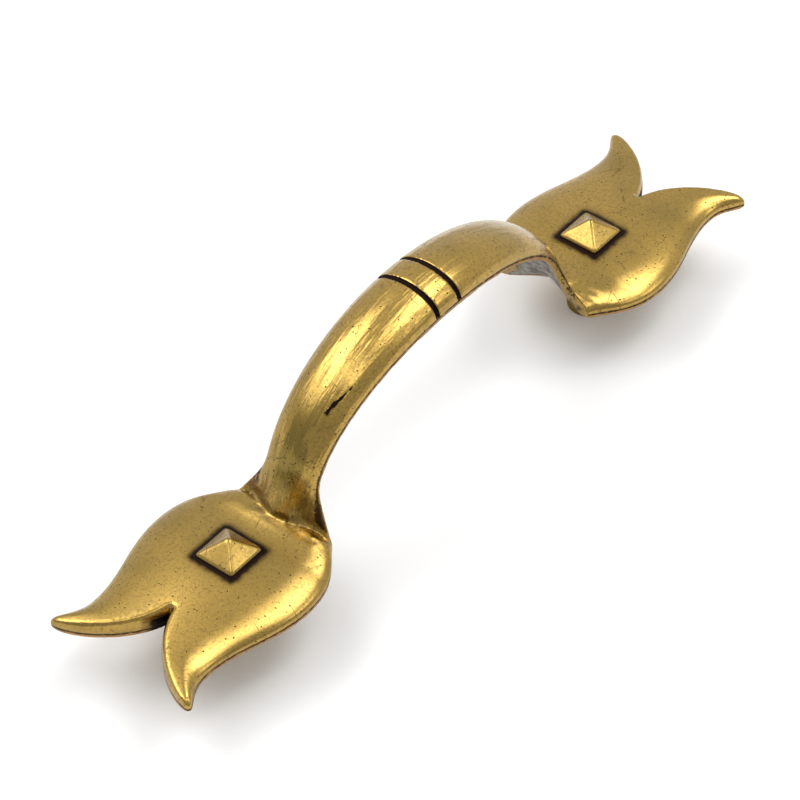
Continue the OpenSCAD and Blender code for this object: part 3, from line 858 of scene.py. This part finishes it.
    # Relief: the buff's streaks as long shallow waves, and the other forms at their heights
    waves = add("MapRange", {0: z, 1: at.top + 0.3, 2: at.top + 1.5, 4: 0.3}, **SOFT)
    off_stud = add("MapRange", {0: end, 1: at.neck + 4.5, 2: at.neck + 3.0}, **SOFT)
    waves = add("Math", {0: waves, 1: off_stud}, operation="MULTIPLY")
    relief = add("Math", {0: flow, 1: waves}, operation="MULTIPLY")
    for form, tall in ((thread, bore), (speckle, 0.003), (pits, -0.02), (lumps, rugged),
                       (crack, -0.12), (rise, 1.0), (cast, 0.3)):
        relief = add("Math", {0: form, 1: tall, 2: relief}, operation="MULTIPLY_ADD")
    grain = add("Bump", {"Strength": 1.0, "Distance": MM, "Height": relief})
    surface = add("BsdfPrincipled", {"Base Color": colour, "Metallic": 1.0,
                                     "Roughness": rough, "Normal": grain,
                                     "Coat Weight": lacquer, "Coat Roughness": 0.2,
                                     "Coat Normal": grain})
    add("OutputMaterial", {"Surface": surface})
    return made


def white_paper():
    """A white paper sweep: a little light of its own, for the camera alone, makes it pure
    white, and it keeps the soft shadow."""
    made, tree = new_material("white_paper")
    paper = add_node(tree, "BsdfDiffuse", {"Color": linear("#F6F6F6"), "Roughness": 1.0})
    seen = add_node(tree, "LightPath").node.outputs
    lift = add_node(tree, "Math", {0: seen["Is Camera Ray"], 1: 0.05}, operation="MULTIPLY")
    glow = add_node(tree, "Emission", {"Color": (1, 1, 1, 1), "Strength": lift})
    both = add_node(tree, "AddShader", {0: paper, 1: glow})
    add_node(tree, "OutputMaterial", {"Surface": both})
    return made


def studio_world():
    """The room around the softboxes: dimmer behind the camera, lighter ahead of it, and
    dimmer for the floor than in the metal's reflections. Seen directly it is plain white."""
    world = bpy.data.worlds.new("studio")
    world.use_nodes = True
    tree = world.node_tree
    tree.nodes.clear()
    towards = add_node(tree, "TexCoord").node.outputs["Generated"]
    ahead = add_node(tree, "VectorMath", {0: towards, 1: AHEAD}, operation="DOT_PRODUCT")
    ahead = ahead.node.outputs["Value"]
    level = add_node(tree, "MapRange", {0: ahead, 1: -0.8, 2: 0.6, 3: ROOM_BEHIND, 4: ROOM_AHEAD},
                     **SOFT)
    rays = add_node(tree, "LightPath").node.outputs
    share = add_node(tree, "MapRange", {0: rays["Is Glossy Ray"], 3: ROOM_FOR_FLOOR, 4: 1.0})
    level = add_node(tree, "Math", {0: level, 1: share}, operation="MULTIPLY")
    grey = add_node(tree, "CombineColor", {0: level, 1: level, 2: level})
    shown = add_node(tree, "Mix", {0: rays["Is Camera Ray"], 6: grey, 7: (1, 1, 1, 1)},
                     data_type="RGBA")
    back = add_node(tree, "Background", {"Color": shown, "Strength": 1.0})
    add_node(tree, "OutputWorld", {"Surface": back})
    return world


# The camera of the fitted view: angles, and the rest in millimetres
AZIMUTH, ELEVATION, ROLL = (math.radians(angle) for angle in (-51.025, 44.561, -0.503))
DISTANCE, TARGET, LENS, SENSOR = 479.171, Vector((-2.585, 0.875, 12.0)), 164.35, 36
# Level directions as that camera has them
RIGHT = Vector((math.cos(AZIMUTH), math.sin(AZIMUTH), 0))
AHEAD = Vector((-math.sin(AZIMUTH), math.cos(AZIMUTH), 0))
UP = Vector((0, 0, 1))
# Brightness of the room, and the share of it that the floor gets
ROOM_BEHIND, ROOM_AHEAD, ROOM_FOR_FLOOR = 0.6, 0.93, 0.6
# Half width of the floor, and height of the softboxes, in metres
FLOOR_HALF, BOX_HEIGHT = 3, 0.8
# Softboxes over the table, as seen from it: centre and half size, per metre of height,
# to the camera's right and ahead of it, and brightness
SOFTBOXES = {"left": ((-0.6, 0.21), (0.43, 0.57), 3.3),
             "front": ((0.0, -0.36), (0.22, 0.15), 1.9),
             "left_edge": ((-1.3, 0.15), (0.4, 0.5), 1.3),
             "right": ((0.54, 0.22), (0.36, 0.46), 3.3),
             "right_edge": ((1.5, -0.1), (0.45, 0.42), 1.6)}


def softbox(name, centre, half, brightness):
    """A level softbox over the table, whose light fades from 1.7 times its brightness in
    the middle to half of it at its edges."""
    data = bpy.data.lights.new(name, "AREA")
    data.shape = "RECTANGLE"
    data.size, data.size_y = (2 * share * BOX_HEIGHT for share in half)
    data.energy = brightness * math.pi * data.size * data.size_y
    data.use_nodes = True
    tree = data.node_tree
    tree.nodes.clear()
    spot = add_node(tree, "NewGeometry").node.outputs["Parametric"]
    spot = add_node(tree, "VectorMath", {0: spot, 1: (0.5, 0.5, 0)}, operation="SUBTRACT")
    spot = add_node(tree, "VectorMath", {0: spot}, operation="ABSOLUTE")
    across, along = add_node(tree, "SeparateXYZ", {0: spot}).node.outputs[:2]
    off = add_node(tree, "Math", {0: across, 1: along}, operation="MAXIMUM")
    glow = add_node(tree, "MapRange", {0: off, 1: 0.5, 2: 0.1, 3: 0.5, 4: 1.7}, **SOFT)
    glow = add_node(tree, "Emission", {"Strength": glow})
    add_node(tree, "OutputLight", {0: glow})
    made = bpy.data.objects.new(name, data)
    place = (RIGHT * centre[0] + AHEAD * centre[1] + UP) * BOX_HEIGHT
    turn = Matrix((RIGHT, AHEAD, UP)).transposed().to_4x4()
    made.matrix_world = Matrix.Translation(place) @ turn
    return made


class PULL_OT_studio(bpy.types.Operator):
    """Set up the floor, the soft lights and the camera"""

    bl_idname = "pull.studio"
    bl_label = "Studio"

    def execute(self, context):
        scene = context.scene
        mesh = bmesh.new()
        bmesh.ops.create_grid(mesh, x_segments=1, y_segments=1, size=FLOOR_HALF)
        floor = shell("floor", mesh)
        floor.data.materials.append(white_paper())
        for name, (centre, half, brightness) in SOFTBOXES.items():
            scene.collection.objects.link(softbox(name, centre, half, brightness))
        scene.world = studio_world()
        scene.view_settings.view_transform = "Standard"
        camera_like_the_photo(scene)
        return {"FINISHED"}


def camera_like_the_photo(scene):
    """Sets up the camera of the fitted view."""
    back = math.sin(ELEVATION) * UP - math.cos(ELEVATION) * AHEAD
    up = back.cross(RIGHT)
    turned_right = math.cos(ROLL) * RIGHT + math.sin(ROLL) * up
    turned_up = math.cos(ROLL) * up - math.sin(ROLL) * RIGHT
    data = bpy.data.cameras.new("camera")
    data.sensor_width, data.lens = SENSOR, LENS
    data.clip_start, data.clip_end = 0.01, 20
    camera = bpy.data.objects.new("camera", data)
    turn = Matrix((turned_right, turned_up, back)).transposed().to_4x4()
    camera.matrix_world = Matrix.Translation((TARGET + back * DISTANCE) * MM) @ turn
    scene.collection.objects.link(camera)
    scene.camera = camera


class PULL_PT_panel(bpy.types.Panel):
    """The pull's sizes and colours, and the operators that build it"""

    bl_idname = "PULL_PT_panel"
    bl_label = "Cabinet pull"
    bl_space_type = "VIEW_3D"
    bl_region_type = "UI"
    bl_category = "Pull"

    def draw(self, context):
        scene = context.scene
        for group in (scene.pull_grip, scene.pull_plates, scene.pull_studs,
                      scene.pull_bosses, scene.pull_finish):
            box = self.layout.box()
            for prop in group.bl_rna.properties:
                if prop.identifier not in ("rna_type", "name"):
                    box.prop(group, prop.identifier)
        self.layout.operator(PULL_OT_casting.bl_idname)
        self.layout.operator(PULL_OT_studio.bl_idname)


GROUPS = {"pull_grip": PullGrip, "pull_plates": PullPlates, "pull_studs": PullStuds,
          "pull_bosses": PullBosses, "pull_finish": PullFinish}
CLASSES = (*GROUPS.values(), PULL_OT_casting, PULL_OT_studio, PULL_PT_panel)


def register():
    for made in CLASSES:
        bpy.utils.register_class(made)
    for name, group in GROUPS.items():
        setattr(bpy.types.Scene, name, bpy.props.PointerProperty(type=group))


def unregister():
    for name in GROUPS:
        delattr(bpy.types.Scene, name)
    for made in reversed(CLASSES):
        bpy.utils.unregister_class(made)


def main():
    """Builds the pull and its studio."""
    register()
    bpy.ops.pull.casting()
    bpy.ops.pull.studio()


if __name__ == "__main__":
    main()
